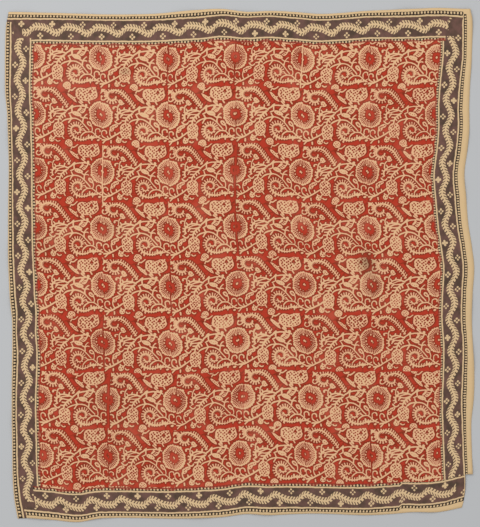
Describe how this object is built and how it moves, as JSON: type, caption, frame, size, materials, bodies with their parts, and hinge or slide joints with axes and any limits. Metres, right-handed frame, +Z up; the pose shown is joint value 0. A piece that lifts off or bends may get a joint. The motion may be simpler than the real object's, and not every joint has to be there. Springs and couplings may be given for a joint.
{
  "type": "printed cloth",
  "caption": "Flat square cotton cloth, block printed with red and cream scrolling flowers inside a dark border, with an unprinted selvedge strip down one side.",
  "frame": {"origin": "centre of the cloth's box, on the surface it lies on", "axes": "+Z up out of the printed face, +Y towards the top edge, +X towards the edge with the unprinted selvedge strip"},
  "size_m": [0.9386, 1.028, 0.0037],
  "materials": {
    "printed_cotton": "plain-woven cotton, red and purple-brown print on cream, matt and slightly faded"
  },
  "bodies": {
    "root": {"cloth": "printed_cotton"}
  },
  "joints": []
}
